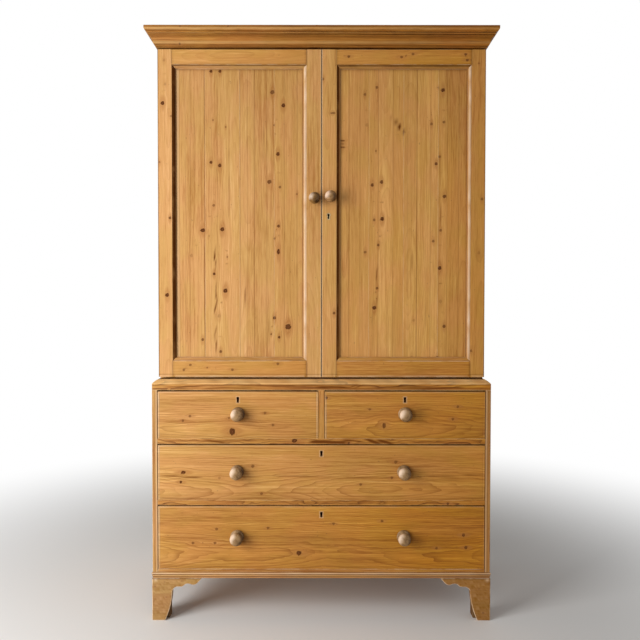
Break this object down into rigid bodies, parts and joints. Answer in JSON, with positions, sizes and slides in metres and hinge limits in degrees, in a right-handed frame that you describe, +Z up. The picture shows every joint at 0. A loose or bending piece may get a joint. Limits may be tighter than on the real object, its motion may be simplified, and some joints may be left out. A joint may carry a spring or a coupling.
{
  "type": "linen press",
  "caption": "Two-part pine linen press: two-door cupboard with shelves and moulded cornice on a chest of drawers with turned knobs and shaped bracket feet.",
  "frame": {"origin": "middle of the bounding box, on the floor", "axes": "+Z up, doors and drawers face -Y, +X to the right seen from the front"},
  "size_m": [1.2882, 0.606, 2.1815],
  "materials": {
    "waxed_pine": "worn wax over aged pine",
    "bare_pine": "unfinished aged pine",
    "bare_knob_wood": "bare turned wood, worn",
    "dark_knob": "dark brown patina",
    "old_brass": "dulled brass",
    "dark_iron": "dark oxidised iron"
  },
  "bodies": {
    "press": {"bracket_feet": "waxed_pine", "foot_blocks": "bare_pine", "base_moulding": "waxed_pine", "chest_bottom": "waxed_pine", "chest_sides": "waxed_pine", "chest_back": "bare_pine", "chest_top": "bare_pine", "waist_frame": "waxed_pine", "drawer_rails": "waxed_pine", "drawer_muntin": "waxed_pine", "drawer_runners": "bare_pine", "drawer_stops": "bare_pine", "cupboard_sides": "waxed_pine", "cupboard_top_and_bottom": "waxed_pine", "cupboard_back": "bare_pine", "cupboard_shelves": "bare_pine", "shelf_bearers": "bare_pine", "cornice": "waxed_pine", "hinge_fixed_leaves": "dark_iron", "hinge_pins": "dark_iron"},
    "left_door": {"left_door_stiles": "waxed_pine", "left_door_rails": "waxed_pine", "left_door_panel": "waxed_pine", "left_door_panel_moulding": "waxed_pine", "left_door_knob": "dark_knob", "left_door_hinge_leaves": "dark_iron", "left_door_bolt_barrel": "dark_iron"},
    "left_door_bolt": {"left_door_bolt": "dark_iron"},
    "right_door": {"right_door_stiles": "waxed_pine", "right_door_rails": "waxed_pine", "right_door_panel": "waxed_pine", "right_door_panel_moulding": "waxed_pine", "right_door_knob": "dark_knob", "right_door_hinge_leaves": "dark_iron", "right_door_lock": "old_brass"},
    "right_door_lock_bolt": {"right_door_lock_bolt": "old_brass"},
    "top_left_drawer": {"top_left_drawer_front": "waxed_pine", "top_left_drawer_sides": "bare_pine", "top_left_drawer_bottom": "bare_pine", "top_left_drawer_knob": "bare_knob_wood", "top_left_drawer_lock": "old_brass"},
    "top_left_drawer_lock_bolt": {"top_left_drawer_lock_bolt": "old_brass"},
    "top_right_drawer": {"top_right_drawer_front": "waxed_pine", "top_right_drawer_sides": "bare_pine", "top_right_drawer_bottom": "bare_pine", "top_right_drawer_knob": "bare_knob_wood", "top_right_drawer_lock": "old_brass"},
    "top_right_drawer_lock_bolt": {"top_right_drawer_lock_bolt": "old_brass"},
    "middle_drawer": {"middle_drawer_front": "waxed_pine", "middle_drawer_sides": "bare_pine", "middle_drawer_bottom": "bare_pine", "middle_drawer_knobs": "bare_knob_wood", "middle_drawer_lock": "old_brass"},
    "middle_drawer_lock_bolt": {"middle_drawer_lock_bolt": "old_brass"},
    "bottom_drawer": {"bottom_drawer_front": "waxed_pine", "bottom_drawer_sides": "bare_pine", "bottom_drawer_bottom": "bare_pine", "bottom_drawer_knobs": "bare_knob_wood", "bottom_drawer_lock": "old_brass"},
    "bottom_drawer_lock_bolt": {"bottom_drawer_lock_bolt": "old_brass"}
  },
  "joints": [
    {"name": "left_door_hinge", "type": "hinge", "parent": "press", "child": "left_door", "pos_m": [-0.6045, -0.21375, 1.5065], "axis": [0, 0, -1], "range_deg": [0, 180]},
    {"name": "right_door_hinge", "type": "hinge", "parent": "press", "child": "right_door", "pos_m": [0.6045, -0.21375, 1.5065], "axis": [0, 0, 1], "range_deg": [0, 180]},
    {"name": "left_door_bolt_slide", "type": "slide", "parent": "left_door", "child": "left_door_bolt", "axis": [0, 0, 1], "range_m": [0, 0.014]},
    {"name": "right_door_lock_bolt_slide", "type": "slide", "parent": "right_door", "child": "right_door_lock_bolt", "axis": [-1, 0, 0], "range_m": [0, 0.008]},
    {"name": "top_left_drawer_slide", "type": "slide", "parent": "press", "child": "top_left_drawer", "axis": [0, -1, 0], "range_m": [0, 0.4]},
    {"name": "top_left_drawer_lock_bolt_slide", "type": "slide", "parent": "top_left_drawer", "child": "top_left_drawer_lock_bolt", "axis": [0, 0, 1], "range_m": [0, 0.008]},
    {"name": "top_right_drawer_slide", "type": "slide", "parent": "press", "child": "top_right_drawer", "axis": [0, -1, 0], "range_m": [0, 0.4]},
    {"name": "top_right_drawer_lock_bolt_slide", "type": "slide", "parent": "top_right_drawer", "child": "top_right_drawer_lock_bolt", "axis": [0, 0, 1], "range_m": [0, 0.008]},
    {"name": "middle_drawer_slide", "type": "slide", "parent": "press", "child": "middle_drawer", "axis": [0, -1, 0], "range_m": [0, 0.4]},
    {"name": "middle_drawer_lock_bolt_slide", "type": "slide", "parent": "middle_drawer", "child": "middle_drawer_lock_bolt", "axis": [0, 0, 1], "range_m": [0, 0.008]},
    {"name": "bottom_drawer_slide", "type": "slide", "parent": "press", "child": "bottom_drawer", "axis": [0, -1, 0], "range_m": [0, 0.4]},
    {"name": "bottom_drawer_lock_bolt_slide", "type": "slide", "parent": "bottom_drawer", "child": "bottom_drawer_lock_bolt", "axis": [0, 0, 1], "range_m": [0, 0.008]}
  ]
}
